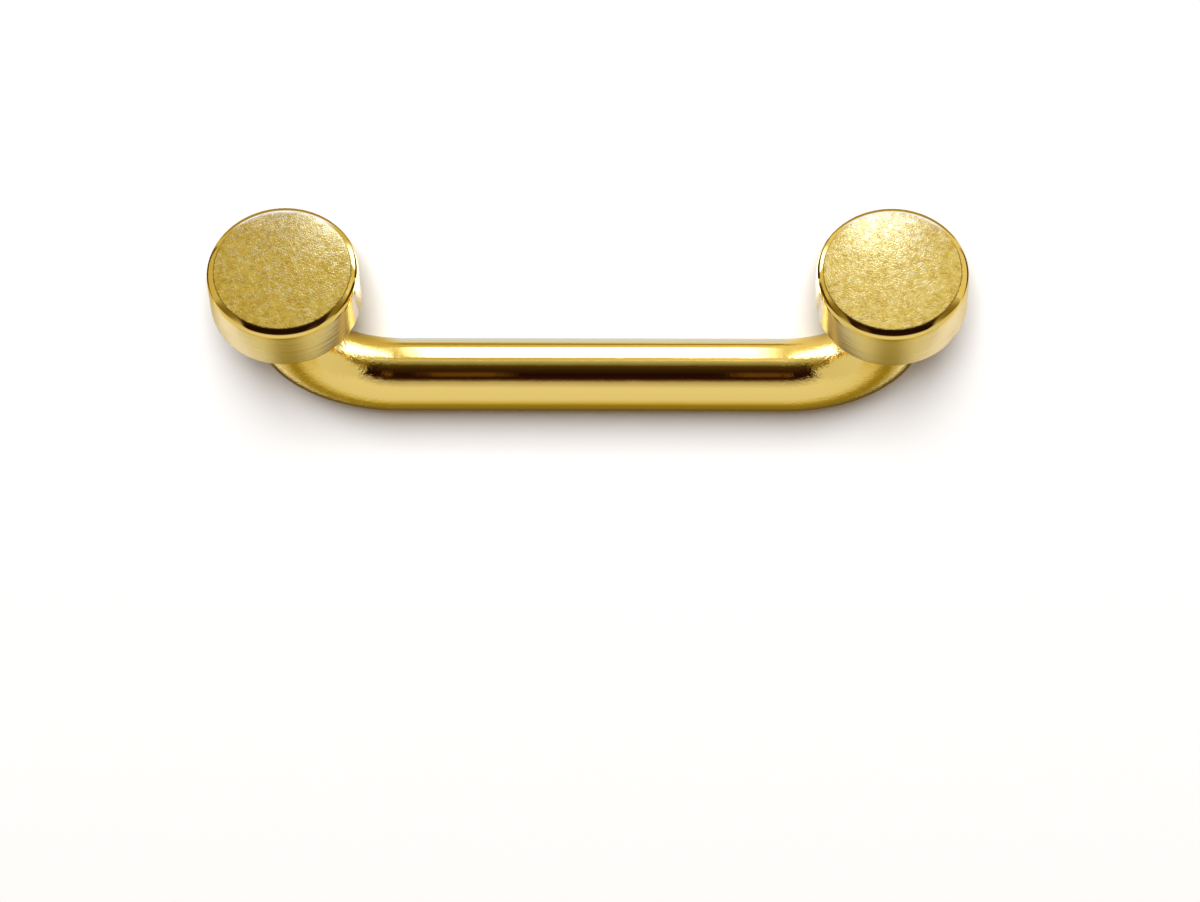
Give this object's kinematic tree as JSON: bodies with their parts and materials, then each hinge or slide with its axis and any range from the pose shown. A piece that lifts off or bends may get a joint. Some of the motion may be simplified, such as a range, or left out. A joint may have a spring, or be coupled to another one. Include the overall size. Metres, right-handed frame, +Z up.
{
  "type": "surface barbell",
  "caption": "Round gold-coloured bar bent up at both ends into risers, each closed by a thick flat disc end screwed into the riser; body jewellery for a surface piercing.",
  "frame": {"origin": "on the surface that the barbell lies on, under the middle of its box", "axes": "+X along the bar, from the left disc end to the right one as seen from the front; -Y to the front, where the faces of the discs look; +Z up. It lies on its side, on the bar and the lower edges of both discs, so the risers point to -Y and 14.1 degrees up."},
  "size_m": [0.0162, 0.0054, 0.0034],
  "materials": {
    "polished_gold_bar": "mirror-polished, gold-plated",
    "turned_gold_disc": "turned and gold-plated, with fine scratches"
  },
  "bodies": {
    "bar": {"bar": "polished_gold_bar"},
    "left_end": {"left_disc_end": "turned_gold_disc"},
    "right_end": {"right_disc_end": "turned_gold_disc"}
  },
  "joints": [
    {"name": "left_disc_end_off", "type": "slide", "parent": "bar", "child": "left_end", "axis": [0, -0.9699, 0.2436], "range_m": [0, 0.002]},
    {"name": "right_disc_end_off", "type": "slide", "parent": "bar", "child": "right_end", "axis": [0, -0.9699, 0.2436], "range_m": [0, 0.002]}
  ]
}
